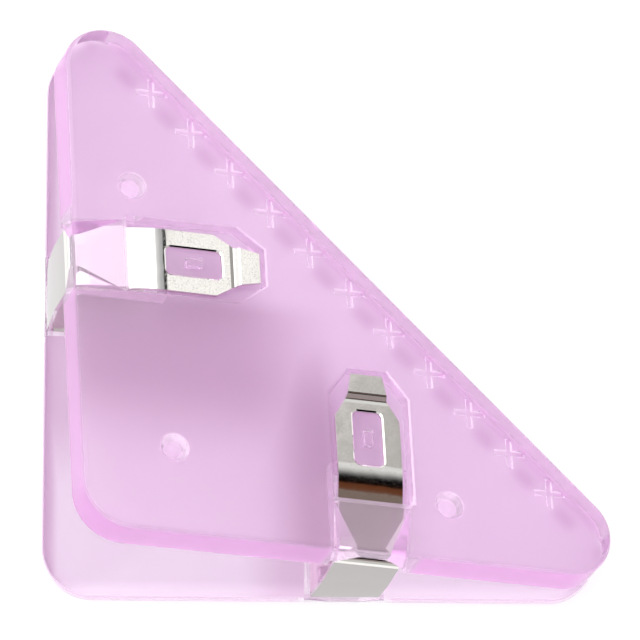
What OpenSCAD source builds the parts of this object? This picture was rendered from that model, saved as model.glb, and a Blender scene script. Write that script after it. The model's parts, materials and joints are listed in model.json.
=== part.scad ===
// Triangular corner clip for paper: two clear plates, mirror images of each other,
// held jaw to jaw along their long sides by two flat steel springs. Squeezing the
// right-angled corners together rolls the plates on their pegs and opens the jaw.
//
// Each plate is drawn once, lying on its outer face, with its right-angled corner at
// the start of X and Y. The second plate and the second half of each spring are that
// drawing mirrored in the middle plane of the clip.

/* [Plates] */
// Length of each short side, measured over the rounded corners
leg = 75; // [68:1:110]
// Thickness of each plate
plate_t = 5.4; // [5:0.1:7]
// Radius of the right-angled corner
corner_r = 6.8; // [4:0.1:9]
// Radius of the two pointed corners
tip_r = 6.2; // [4:0.1:8]
// Angle between the plates while the jaw is closed
rest_angle = 27; // [25:1:32]

/* [Jaw teeth] */
// Distance between neighbouring cross-shaped teeth
tooth_pitch = 7.6; // [6:0.1:12]
// Length of each bar of a cross
tooth_len = 4.4; // [3:0.1:5]
// Width of each bar of a cross
tooth_w = 0.9; // [0.6:0.1:1.4]
// Height of the teeth above the jaw face
tooth_h = 0.3; // [0.2:0.05:0.6]
// Distance from the jaw edge to the middle of a cross
tooth_inset = 2.3; // [2.2:0.1:4]
// Clearance between the facing teeth at the jaw edge
jaw_gap = 0.1; // [0.1:0.05:0.5]

/* [Pegs] */
// Diameter of the fulcrum pegs and of the stop peg
peg_d = 3.7; // [3:0.1:4.5]
// Distance from the jaw edge to the fulcrum pegs
peg_inset = 14.6; // [13:0.1:16]
// Distance between the two fulcrum pegs
peg_spacing = 61; // [58:0.5:66]
// Clearance between facing pegs
peg_gap = 0.3; // [0.2:0.05:0.6]
// Distance of the stop peg from both short sides
stop_inset = 14.3; // [12:0.1:18]
// Angle that the plates close through before the stop pegs meet
squeeze_angle = 26; // [15:1:26]

/* [Springs] */
// Width of the steel strip
strip_w = 9.2; // [7:0.1:10]
// Thickness of the steel strip
strip_t = 0.5; // [0.3:0.05:0.6]
// Distance from the right-angled corner to the middle of each spring
spring_at = 41; // [38:0.5:43]
// Length of an arm, from the short side to its tip
arm_reach = 26.6; // [25.8:0.1:28]
// Distance from the short side to the fold of the tip
fold_reach = 23.2; // [22.6:0.1:24]
// Distance from the short side to the shoulders, where the arm begins to narrow
shoulder_reach = 20.2; // [19:0.1:21.5]
// Distance from the short side to the bend, where the arm leaves its pocket
bend_reach = 13.4; // [12.6:0.1:14]
// Width of the arm at the fold of its tip
fold_w = 5.8; // [5:0.1:6.5]
// Width of the arm at the end of its tip
tip_w = 4.4; // [3:0.1:5]
// Length of the window in each arm
window_len = 8; // [6:0.1:8.4]
// Width of the window in each arm
window_w = 4.2; // [3:0.1:5]
// Corner radius of the window
window_r = 0.8; // [0.4:0.1:1.2]
// Depth of the arm's flat stretch below the outer face, to the middle of the strip
arm_depth = 1.2; // [0.9:0.05:1.3]
// Depth of the end of the tip, which is bent up for prising
tip_depth = 0.5; // [0.4:0.05:0.9]
// Depth of the arm at the short side, to the middle of the strip
edge_depth = 4.2; // [4:0.05:4.6]
// Distance from the short side to the bend between an arm and the web
web_inset = 0.5; // [0.3:0.05:1]
// Angle that each half of the web leans outwards, towards the crease between them
web_lean = 6; // [2:0.5:9]

/* [Pockets] */
// Room between an arm and the side walls of its pocket
pocket_room = 0.8; // [0.4:0.1:1]
// Thickness of the bridge that covers an arm beside the short side
bridge_t = 1.8; // [1.4:0.05:1.8]
// Width of the bridge, from the short side to the slot
bridge_w = 7.6; // [6.5:0.1:8]
// Width of a gusset under the bridge, at the short side
gusset_w = 2.5; // [1.5:0.1:3]
// Clearance between an arm and what it rests on
seat_gap = 0.12; // [0.08:0.01:0.2]
// Length of the catch inside the window
catch_len = 2.2; // [1.5:0.1:4]
// Width of the catch inside the window
catch_w = 1.2; // [0.8:0.1:2]
// Depth of the top of the catch below the outer face
catch_depth = 0.7; // [0.5:0.05:1]

/* [Hidden] */
$fn = 64;

// Amount that joined solids run into each other, and that cuts run past a face
lap = 0.2;

// Half of the closed clip's angle, and the normal of its middle plane
half_angle = rest_angle / 2;
diagonal = sqrt(2) / 2;
mid_normal = [sin(half_angle) * diagonal, sin(half_angle) * diagonal, cos(half_angle)];

// Short side of the sharp triangle that the plate would be without its round corners
sharp_leg = leg + sqrt(2) * tip_r;
// Length of straight edge that a round pointed corner takes off each side
tip_trim = tip_r / tan(22.5);
// Place of a pointed corner's centre along its short side
tip_at = sharp_leg - tip_trim;
// Distance of the triangle's middle, its incentre, from each side
middle = sharp_leg * (1 - diagonal);
// Distance from the right-angled corner to the jaw edge along the bisector
jaw_at = sharp_leg * diagonal;

// Half of the gap between the inner faces at the jaw edge
jaw_half = tooth_h + jaw_gap / 2;
// Point of the middle plane beside the middle of the jaw edge
jaw_point = [sharp_leg / 2, sharp_leg / 2, plate_t] + jaw_half * mid_normal;

// Number of crosses on each side of the middle one
tooth_room = jaw_at - tip_trim - tooth_len * 0.6;
teeth_each_side = floor(tooth_room / tooth_pitch);

// Pegs: place along the bisector, and height of the dome's centre above the inner face
peg_r = peg_d / 2;
peg_standoff = peg_r + peg_gap / 2;
peg_at = (jaw_at - peg_inset) * diagonal;
peg_half = peg_spacing / 2 * diagonal;
peg_dome = (jaw_half + peg_inset * sin(half_angle) - peg_standoff) / cos(half_angle);

// Stop peg: its dome meets the facing one when the clip has been squeezed
squeezed_half = (rest_angle - squeeze_angle) / 2;
pivot_height = peg_dome + peg_standoff * cos(half_angle);
pivot_inset = peg_inset - peg_standoff * sin(half_angle);
stop_from_jaw = jaw_at - stop_inset / diagonal;
stop_dome = pivot_height + (stop_from_jaw - pivot_inset) * tan(squeezed_half)
    - peg_standoff / cos(squeezed_half);

// Slope of an arm between its bend and the short side
arm_slope = (edge_depth - arm_depth) / (bend_reach - web_inset);
// Depth of the pocket in the outer face, on whose floor the arm's flat stretch lies
pocket_depth = arm_depth + strip_t / 2 + seat_gap;
// Half of the pocket's width
pocket_half = strip_w / 2 + pocket_room;
// Far end of the slot, where the sloping arm has yet to reach the pocket's floor
slot_end = bend_reach + seat_gap;
// Middle of the window, which starts at the bend
window_at = bend_reach + window_len / 2;
// Slope of a web half, as distance inwards for each millimetre of height
web_slope = tan(atan(mid_normal[1] / mid_normal[2]) - web_lean);
// Middle of the strip from the tip to the bend at the web, and on past the crease
arm_line = [
    [arm_reach, tip_depth], [fold_reach, arm_depth], [bend_reach, arm_depth], [web_inset, edge_depth],
    [web_inset + web_slope * leg, edge_depth + leg]
];

// Flat outline of a plate
module plate_outline() {
    reach = tip_r * diagonal;
    polygon([
        [corner_r, 0], [tip_at, 0], [tip_at + reach, tip_r + reach],
        [tip_r + reach, tip_at + reach], [0, tip_at], [0, corner_r]
    ]);
    translate([corner_r, corner_r]) circle(corner_r);
    translate([tip_at, tip_r]) circle(tip_r);
    translate([tip_r, tip_at]) circle(tip_r);
}

// Draws its children beside both short sides
module both_sides() {
    children();
    mirror([1, -1, 0]) children();
}

// Draws its children mirrored in the clip's middle plane
module facing() {
    translate(jaw_point) mirror(mid_normal) translate(-jaw_point) children();
}

// Extrudes a side view, drawn as distance inwards and depth, across a width
module across(width) {
    translate([spring_at - width / 2, 0, 0]) rotate([90, 0, 90]) linear_extrude(width) children();
}

// Flat outline drawn from [half width, distance from the short side] on both sides
module mirrored_outline(half) {
    last = len(half) - 1;
    translate([spring_at, 0]) polygon(concat(
        half, [for (i = [last:-1:0]) [-half[i][0], half[i][1]]]
    ));
}

// Flat outline of an arm
module arm_outline() {
    mirrored_outline([
        [strip_w / 2, -leg / 4], [strip_w / 2, shoulder_reach], [fold_w / 2, fold_reach],
        [tip_w / 2, arm_reach]
    ]);
}

// Flat outline of the pocket round an arm, with a chamfered end
module pocket_outline() {
    mirrored_outline([
        [pocket_half, bridge_w], [pocket_half, fold_reach],
        [(tip_w + pocket_room) / 2, arm_reach + pocket_room / 2]
    ]);
}

// Depth of the arm's middle at a distance from the short side, on its sloping stretch
function slope_depth(at) = arm_depth + (bend_reach - at) * arm_slope;

// Pocket in the outer face, the slot through the plate and the channel under the bridge
module spring_cut() {
    translate([0, 0, -lap]) linear_extrude(pocket_depth + lap)
        pocket_outline();
    translate([spring_at - pocket_half, bridge_w, -lap])
        cube([2 * pocket_half, slot_end - bridge_w, plate_t + 2 * lap]);
    translate([spring_at - pocket_half, -lap, bridge_t])
        cube([2 * pocket_half, bridge_w + 2 * lap, plate_t]);
}

// Two wedges that fill the corners between the bridge, the channel's walls and the arm
module gussets() {
    wall = pocket_half + lap;
    root = pocket_half - gusset_w;
    arm_top = seat_gap + strip_t / 2;
    intersection() {
        translate([spring_at, 0, bridge_t - lap]) linear_extrude(plate_t) {
            polygon([[-wall, 0], [-root, 0], [-pocket_half, bridge_w], [-wall, bridge_w]]);
            polygon([[wall, 0], [root, 0], [pocket_half, bridge_w], [wall, bridge_w]]);
        }
        across(2 * wall) polygon([
            [0, bridge_t - lap], [0, slope_depth(0) - arm_top],
            [bridge_w, slope_depth(bridge_w) - arm_top], [bridge_w, bridge_t - lap]
        ]);
    }
}

// Small block on the pocket's floor that the window drops over
module spring_catch() {
    translate([spring_at - catch_w / 2, window_at - catch_len / 2, catch_depth])
        cube([catch_w, catch_len, pocket_depth - catch_depth + lap]);
}

// Round peg with a domed end, whose dome is centred above the inner face
module peg(dome) {
    translate([0, 0, plate_t - lap]) cylinder(h = dome + lap, r = peg_r);
    translate([0, 0, plate_t + dome]) sphere(peg_r);
}

// Row of crosses along the jaw, with bars parallel to the short sides
module jaw_teeth() {
    row = (jaw_at - tooth_inset) * diagonal;
    for (i = [-teeth_each_side:teeth_each_side]) {
        shift = i * tooth_pitch * diagonal;
        translate([row + shift, row - shift, plate_t + (tooth_h - lap) / 2]) {
            cube([tooth_len, tooth_w, tooth_h + lap], center = true);
            cube([tooth_w, tooth_len, tooth_h + lap], center = true);
        }
    }
}

// One plate, lying on its outer face
module plate() {
    difference() {
        linear_extrude(plate_t) plate_outline();
        both_sides() spring_cut();
    }
    both_sides() gussets();
    both_sides() spring_catch();
    both_sides() translate([peg_at + peg_half, peg_at - peg_half, 0]) peg(peg_dome);
    translate([stop_inset, stop_inset, 0]) peg(stop_dome);
    jaw_teeth();
}

// Window in an arm, with round corners
module window() {
    inner_w = window_w - 2 * window_r;
    inner_l = window_len - 2 * window_r;
    translate([spring_at, window_at]) {
        square([window_w, inner_l], center = true);
        square([inner_w, window_len], center = true);
        for (x = [-1, 1], y = [-1, 1])
            translate([x * inner_w / 2, y * inner_l / 2]) circle(window_r);
    }
}

// Direction of a segment of a line, and the direction square to it
function along(from, to) = (to - from) / norm(to - from);
function square_to(direction) = [-direction[1], direction[0]];

// Points of a line moved sideways by a distance, with mitred corners
function beside(line, distance) = [
    for (i = [0:len(line) - 1]) let (
        before = square_to(along(line[max(i - 1, 0)], line[max(i, 1)])),
        after = square_to(along(line[min(i, len(line) - 2)], line[min(i + 1, len(line) - 1)])),
        miter = before + after
    ) line[i] + miter * distance / (miter * before)
];

// Side view of a strip that is bent along a line
module strip_outline(line) {
    back = beside(line, -strip_t / 2);
    polygon(concat(beside(line, strip_t / 2), [for (i = [len(line) - 1:-1:0]) back[i]]));
}

// Space on this side of the clip's middle plane
module near_side() {
    reach = 2 * leg;
    translate(jaw_point) rotate(half_angle, [-1, 1, 0]) translate([-reach, -reach, -reach])
        cube([2 * reach, 2 * reach, reach]);
}

// Half of a spring: tip, flat stretch with its window, slope, and web up to the crease
module spring_half() {
    intersection() {
        across(strip_w) strip_outline(arm_line);
        translate([0, 0, -plate_t]) linear_extrude(leg) difference() {
            arm_outline();
            window();
        }
        near_side();
    }
}

// Whole spring beside the short side that lies along X
module spring() {
    spring_half();
    facing() spring_half();
}

// Moves the triangle's middle to the origin
module placed() {
    translate([-middle, -middle, 0]) children();
}

module back_plate() {
    color("plum") placed() plate();
}

module front_plate() {
    color("plum") placed() facing() plate();
}

module left_spring() {
    color("silver") placed() mirror([1, -1, 0]) spring();
}

module bottom_spring() {
    color("silver") placed() spring();
}

back_plate();
front_plate();
left_spring();
bottom_spring();
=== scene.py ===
"""Looks of a triangular corner clip: two clear pink plates held jaw to jaw by two flat steel springs.

Both plates are one moulding. It is modelled once, lying on its outer face with its right-angled corner
at the start of X and Y, and the front plate is that model mirrored in the clip's middle plane. A spring
is modelled the same way: half of it is bent from a strip, and the other half is its mirror image.
"""

import json
import logging
import math
from dataclasses import dataclass
from enum import Enum

import bmesh
import bpy
from mathutils import Matrix, Vector

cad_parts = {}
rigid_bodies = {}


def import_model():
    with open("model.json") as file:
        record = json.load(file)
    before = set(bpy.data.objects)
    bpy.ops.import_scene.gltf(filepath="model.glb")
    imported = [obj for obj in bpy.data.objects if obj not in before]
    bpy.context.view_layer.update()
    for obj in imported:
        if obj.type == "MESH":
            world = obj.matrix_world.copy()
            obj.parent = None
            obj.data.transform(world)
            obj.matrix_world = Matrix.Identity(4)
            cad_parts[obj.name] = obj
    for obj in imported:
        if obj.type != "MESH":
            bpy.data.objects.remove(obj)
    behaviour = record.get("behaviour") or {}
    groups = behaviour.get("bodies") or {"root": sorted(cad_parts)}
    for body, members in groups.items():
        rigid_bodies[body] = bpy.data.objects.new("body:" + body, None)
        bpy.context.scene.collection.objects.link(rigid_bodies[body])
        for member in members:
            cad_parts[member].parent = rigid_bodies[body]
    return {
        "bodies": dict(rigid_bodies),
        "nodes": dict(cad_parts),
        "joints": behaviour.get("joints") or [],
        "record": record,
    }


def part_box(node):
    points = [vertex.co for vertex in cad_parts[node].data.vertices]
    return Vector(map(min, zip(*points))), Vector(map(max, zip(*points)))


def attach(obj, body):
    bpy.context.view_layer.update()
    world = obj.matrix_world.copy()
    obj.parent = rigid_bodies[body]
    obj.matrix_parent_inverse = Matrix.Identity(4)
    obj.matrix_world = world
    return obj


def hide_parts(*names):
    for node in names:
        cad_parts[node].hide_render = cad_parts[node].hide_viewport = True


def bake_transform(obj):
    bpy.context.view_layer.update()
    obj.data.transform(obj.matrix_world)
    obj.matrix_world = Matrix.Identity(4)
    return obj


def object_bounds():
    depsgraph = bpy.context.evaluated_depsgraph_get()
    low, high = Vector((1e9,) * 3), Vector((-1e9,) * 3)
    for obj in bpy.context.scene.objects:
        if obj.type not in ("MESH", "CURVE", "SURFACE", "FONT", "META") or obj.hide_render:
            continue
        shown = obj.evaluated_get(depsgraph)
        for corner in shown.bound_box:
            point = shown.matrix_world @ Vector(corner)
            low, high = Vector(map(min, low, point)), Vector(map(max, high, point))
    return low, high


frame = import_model()
CAD_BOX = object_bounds()

LOG = logging.getLogger("corner_clip")
MM = 0.001
DIAGONAL = math.sqrt(0.5)
QUARTER_TURN = math.pi / 2
EIGHTH_TURN = math.pi / 4
MARKS = "marks"
DRAWING = "drawing"

Colour = tuple[float, float, float]
Flat = tuple[float, float]
Stops = tuple[float, float, float, float]
Ring = list[Vector]
Piece = bpy.types.Object
Material = bpy.types.Material
Socket = bpy.types.NodeSocket
Number = float | Socket


class Body(Enum):
    """The two bodies of the clip, by their names in the frame."""

    BACK = "back"
    FRONT = "front"


class Joining(Enum):
    """The ways that one closed mesh is joined to another."""

    ADD = "UNION"
    CUT = "DIFFERENCE"
    KEEP = "INTERSECT"


class ShortSide(Enum):
    """The short side of the triangle that a spring wraps round, by its spring's node."""

    BOTTOM = "bottom_spring"
    LEFT = "left_spring"


# ---------------------------------------------------------------- places read from the frame


@dataclass(frozen=True)
class Places:
    """Places that all the pieces share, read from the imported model.

    Attributes:
        corner: Where the sides of the back plate would meet if its corner were sharp.
        leg: Length of a short side, over its round corners.
        pivot: Point of the middle plane on which the fulcrum pegs roll.
        stop_top: Height of the stop peg above the back plate's outer face.
        half_angle: Angle between each plate and the middle plane while the jaw is closed.
    """

    corner: Vector
    leg: float
    pivot: Vector
    stop_top: float
    half_angle: float = math.radians(13.5)

    @classmethod
    def read(cls, packed: dict) -> "Places":
        """Reads the places from the frame.


        Returns:
            The places, in metres in the row frame.
        """
        low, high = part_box("back_plate")
        return cls(
            corner=Vector((low.x, low.y, low.z)),
            leg=high.x - low.x,
            pivot=Vector(packed["joints"][0]["pos_m"]),
            stop_top=high.z - low.z,
        )

    @property
    def normal(self) -> Vector:
        """Direction square to the middle plane, towards the front plate."""
        lean = math.sin(self.half_angle) * DIAGONAL
        return Vector((lean, lean, math.cos(self.half_angle)))

    @property
    def mirror(self) -> Matrix:
        """Mirrors the row frame in the middle plane."""
        here = Matrix.Translation(self.pivot)
        return here @ Matrix.Scale(-1, 4, self.normal) @ here.inverted()

    @property
    def placed(self) -> Matrix:
        """Takes a drawing that starts at the right-angled corner into the row frame."""
        return Matrix.Translation(self.corner)

    @property
    def swapped(self) -> Matrix:
        """Swaps X and Y of a drawing that starts at the right-angled corner."""
        return Matrix(((0, 1, 0, 0), (1, 0, 0, 0), (0, 0, 1, 0), (0, 0, 0, 1)))


# ---------------------------------------------------------------- mesh helpers


def new_object(name: str, data: bpy.types.ID) -> bpy.types.Object:
    """Puts a mesh, a lamp or a camera into the scene.

    Args:
        name: Name of its object.
        data: The mesh, the lamp or the camera.

    Returns:
        The object.
    """
    made = bpy.data.objects.new(name, data)
    bpy.context.scene.collection.objects.link(made)
    return made


def new_piece(name: str, mesh: bmesh.types.BMesh) -> Piece:
    """Turns a mesh that is being built into an object of the scene.

    Args:
        name: Name of the piece.
        mesh: The mesh, which is freed.

    Returns:
        The new object.
    """
    bmesh.ops.recalc_face_normals(mesh, faces=mesh.faces)
    data = bpy.data.meshes.new(name)
    mesh.to_mesh(data)
    mesh.free()
    return new_object(name, data)


def settle(piece: Piece) -> None:
    """Applies the modifiers of a piece.

    Args:
        piece: The piece, which keeps its name.
    """
    graph = bpy.context.evaluated_depsgraph_get()
    result = bpy.data.meshes.new_from_object(piece.evaluated_get(graph))
    used = piece.data
    piece.modifiers.clear()
    piece.data = result
    result.name = piece.name
    bpy.data.meshes.remove(used)


def join(piece: Piece, tool: Piece, how: Joining) -> None:
    """Adds a closed mesh to a piece, cuts it away or keeps what both share.

    Args:
        piece: The piece that changes.
        tool: The other mesh, which is deleted.
        how: The way of joining.
    """
    modifier = piece.modifiers.new("join", "BOOLEAN")
    modifier.object = tool
    modifier.operation = how.value
    modifier.solver = "EXACT"
    settle(piece)
    bpy.data.objects.remove(tool)


def move_mesh(piece: Piece, matrix: Matrix) -> None:
    """Moves or mirrors the mesh of a piece, keeping its faces outward.

    Args:
        piece: The piece.
        matrix: The move in the row frame.
    """
    piece.data.transform(matrix)
    if matrix.determinant() < 0:
        piece.data.flip_normals()


def ring_at(outline: list[Flat], height: float) -> Ring:
    """Points of a flat outline that is put at a height in Z."""
    return [Vector((x, y, height)) for x, y in outline]


def lofted(name: str, rings: list[Ring], triangles: bool = False) -> Piece:
    """Builds a closed solid that runs through rings with equal numbers of points.

    Args:
        name: Name of the solid.
        rings: The rings, each with its points in order.
        triangles: Whether its faces are cut into triangles, as a twisted solid needs.

    Returns:
        The solid.
    """
    mesh = bmesh.new()
    made = [[mesh.verts.new(point) for point in ring] for ring in rings]
    count = len(rings[0])
    for lower, upper in zip(made, made[1:]):
        for i in range(count):
            j = (i + 1) % count
            mesh.faces.new((lower[i], lower[j], upper[j], upper[i]))
    mesh.faces.new(list(reversed(made[0])))
    mesh.faces.new(made[-1])
    if triangles:
        bmesh.ops.triangulate(mesh, faces=mesh.faces)
    return new_piece(name, mesh)


def prism(name: str, outline: list[Flat], low: float, high: float) -> Piece:
    """Builds a prism on a flat outline, from one height in Z to another."""
    return lofted(name, [ring_at(outline, low), ring_at(outline, high)])


def arc(centre: Flat, radius: float, start: float, end: float, steps: int) -> list[Flat]:
    """Points along an arc between two angles in radians, both ends included."""
    turns = [start + (end - start) * i / steps for i in range(steps + 1)]
    return [(centre[0] + radius * math.cos(a), centre[1] + radius * math.sin(a)) for a in turns]


def rounded_line(points: list[Flat], radii: list[float], steps: int) -> list[Flat]:
    """Rounds the corners of an open line.

    Args:
        points: The line's points.
        radii: Radius of the bend at each point but the first and the last.
        steps: Number of straight pieces in each bend.

    Returns:
        The points of the rounded line.
    """
    line = [points[0]]
    for before, here, after, radius in zip(points, points[1:], points[2:], radii):
        into = (Vector(here) - Vector(before)).normalized()
        out = (Vector(after) - Vector(here)).normalized()
        turn = into.angle_signed(out)
        trim = radius * math.tan(abs(turn) / 2)
        start = Vector(here) - into * trim
        for i in range(steps + 1):
            part = i / steps
            chord = 2 * radius * math.sin(abs(turn) * part / 2)
            heading = into.copy()
            heading.rotate(Matrix.Rotation(-turn * part / 2, 2))
            line.append(tuple(start + heading * chord))
    line.append(points[-1])
    return line


def thickened(line: list[Flat], thickness: float) -> list[Flat]:
    """Outline of a strip seen from its edge.

    Args:
        line: The middle of the strip.
        thickness: Its thickness.

    Returns:
        The closed outline, with mitred bends.
    """
    directions = [(Vector(b) - Vector(a)).normalized() for a, b in zip(line, line[1:])]
    upper = []
    lower = []
    for i, point in enumerate(line):
        before = directions[max(i - 1, 0)].orthogonal()
        after = directions[min(i, len(directions) - 1)].orthogonal()
        mitre = before + after
        reach = mitre * (thickness / 2 / mitre.dot(before))
        upper.append(tuple(Vector(point) + reach))
        lower.append(tuple(Vector(point) - reach))
    return upper + lower[::-1]


def dress(piece: Piece, finish: Material) -> None:
    """Gives a piece its finish, in place of any that it has."""
    piece.data.materials.clear()
    piece.data.materials.append(finish)


def finish_edges(piece: Piece, width: float, sharpest: float, steps: int) -> None:
    """Rounds the sharp edges of a piece a little.

    Args:
        piece: The piece.
        width: Width of the rounding.
        sharpest: Edges that turn more than this are rounded, in radians.
        steps: Number of faces across a rounding.
    """
    bevel = piece.modifiers.new("edges", "BEVEL")
    bevel.width = width
    bevel.segments = steps
    bevel.limit_method = "ANGLE"
    bevel.angle_limit = sharpest
    bevel.miter_outer = "MITER_ARC"
    settle(piece)


def shade(piece: Piece, crease: float) -> None:
    """Shades a piece smooth, up to a crease angle, with flat faces left flat.

    Args:
        piece: The piece.
        crease: Edges that turn more than this stay sharp, in radians.
    """
    piece.data.shade_smooth()
    piece.data.set_sharp_from_angle(angle=crease)
    weighted = piece.modifiers.new("flats", "WEIGHTED_NORMAL")
    weighted.keep_sharp = True
    settle(piece)


# ---------------------------------------------------------------- finishes


class NodeBench:
    """Adds nodes to a material's or a world's tree in a few words."""

    def __init__(self, tree: bpy.types.NodeTree) -> None:
        """Takes the tree to work in and empties it."""
        self.tree = tree
        self.tree.nodes.clear()

    def put(self, socket: Socket, value: object) -> None:
        """Sets an input.

        Args:
            socket: The input.
            value: A plain value, or an output that is linked to it.
        """
        if isinstance(value, Socket):
            self.tree.links.new(value, socket)
        else:
            socket.default_value = value

    def add(self, kind: str, settings: dict | None = None, **inputs: object) -> bpy.types.Node:
        """Adds a node.

        Args:
            kind: The node's type, without its ShaderNode prefix.
            settings: Properties of the node itself.
            **inputs: Values, or output sockets to link, by input name with _ for a space.

        Returns:
            The new node.
        """
        node = self.tree.nodes.new("ShaderNode" + kind)
        for name, value in (settings or {}).items():
            setattr(node, name, value)
        for name, value in inputs.items():
            self.put(node.inputs[name.replace("_", " ")], value)
        return node

    def parts(self, vector: Socket) -> tuple[Socket, Socket, Socket]:
        """Splits a vector into its X, Y and Z."""
        outputs = self.add("SeparateXYZ", Vector=vector).outputs
        return outputs["X"], outputs["Y"], outputs["Z"]

    def kept(self, name: str) -> tuple[Socket, Socket, Socket]:
        """Reads the three numbers that a mesh keeps under a name, MARKS or DRAWING."""
        return self.parts(self.add("Attribute", {"attribute_name": name}).outputs["Vector"])

    def ramp(self, factor: Socket, stops: list[tuple[float, Colour]]) -> Socket:
        """Adds a colour ramp.

        Args:
            factor: What drives it.
            stops: Position and colour of each stop.

        Returns:
            Its colour output.
        """
        node = self.add("ValToRGB", Fac=factor)
        elements = node.color_ramp.elements
        while len(elements) < len(stops):
            elements.new(1)
        for element, (position, colour) in zip(elements, stops):
            element.position = position
            element.color = (*colour, 1)
        return node.outputs["Color"]

    def noise(self, place: Socket, size: float, detail: float, roughness: float = 0.5) -> Socket:
        """Adds a random pattern of clouds up to a size, with finer ones laid over them."""
        node = self.add("TexNoise", Vector=place, Scale=1 / size, Detail=detail, Roughness=roughness)
        return node.outputs["Fac"]

    def relief(self, height: Socket, depth: float, strength: Number = 1.0, **under: Socket) -> Socket:
        """Adds a relief that follows a pattern from 0 to 1, and lies on another one if Normal is given."""
        return self.add("Bump", Height=height, Distance=depth, Strength=strength, **under).outputs["Normal"]

    def math(self, operation: str, *values: Number) -> Socket:
        """Adds a node that does one sum.

        Args:
            operation: What it does, as Blender names it.
            *values: What it works on, plain or from nodes.

        Returns:
            Its output.
        """
        node = self.add("Math", {"operation": operation})
        for socket, value in zip(node.inputs, values):
            self.put(socket, value)
        return node.outputs["Value"]

    def product(self, first: Socket, *others: Number) -> Socket:
        """Adds nodes that multiply numbers.

        Args:
            first: The first number.
            *others: The others, plain or from nodes.

        Returns:
            Their product.
        """
        for other in others:
            first = self.math("MULTIPLY", first, other)
        return first

    def step(self, value: Socket, start: float, end: float) -> Socket:
        """Adds a soft step from 0 to 1.

        Args:
            value: What drives it.
            start: Where it is still 0.
            end: Where it reaches 1, which may be less than start.

        Returns:
            Its output.
        """
        turned = end < start
        node = self.add(
            "MapRange", {"interpolation_type": "SMOOTHSTEP"}, Value=value, From_Min=min(start, end),
            From_Max=max(start, end), To_Min=float(turned), To_Max=float(not turned),
        )
        return node.outputs["Result"]

    def hump(self, value: Socket, stops: Stops) -> Socket:
        """Adds a soft step up to 1 between the first two stops, and one down between the last two."""
        return self.product(self.step(value, stops[0], stops[1]), self.step(value, stops[3], stops[2]))

    def between(self, factor: Socket, low: Number, high: float) -> Socket:
        """Adds a node that goes from one number to another as a factor goes from 0 to 1."""
        return self.add("MapRange", Value=factor, To_Min=low, To_Max=high).outputs["Result"]

    def blend(self, factor: Socket, low: Colour | Socket, high: Colour | Socket) -> Socket:
        """Adds a node that goes from one colour to another.

        Args:
            factor: What drives it, from 0 to 1.
            low: The colour at 0, plain or from a node.
            high: The colour at 1.

        Returns:
            Its colour output.
        """
        node = self.add("Mix", {"data_type": "RGBA"}, Factor=factor)
        sockets = [socket for socket in node.inputs if socket.type == "RGBA"]
        for socket, colour in zip(sockets, (low, high)):
            self.put(socket, colour if isinstance(colour, Socket) else (*colour, 1))
        return next(socket for socket in node.outputs if socket.type == "RGBA")

    def pair(self, kind: str, first: Socket, second: Socket, **inputs: Socket) -> Socket:
        """Adds a node that puts two shaders together.

        Args:
            kind: AddShader or MixShader.
            first: The first shader.
            second: The second shader.
            **inputs: Fac, for MixShader.

        Returns:
            Its output.
        """
        node = self.add(kind, **inputs)
        self.put(node.inputs[-2], first)
        self.put(node.inputs[-1], second)
        return node.outputs[0]


def new_material(name: str) -> tuple[Material, NodeBench]:
    """Adds a material with an empty node tree.

    Args:
        name: Its name.

    Returns:
        The material and the bench for its nodes.
    """
    material = bpy.data.materials.new(name)
    material.use_nodes = True
    return material, NodeBench(material.node_tree)


@dataclass(frozen=True)
class PaintedSpringShadow:
    """A soft painted shadow that a spring casts on the corner side of its pocket.

    Attributes:
        across: Where it leaves nothing, is full, leaves full and is gone, along the bottom short side.
        up: The same along the left short side.
    """

    across: Stops
    up: Stops

    def mask(self, bench: NodeBench, across: Socket, up: Socket) -> Socket:
        """Adds nodes that are 1 in the patch and 0 outside it, from the place along both sides."""
        return bench.product(bench.hump(across, self.across), bench.hump(up, self.up))


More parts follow.
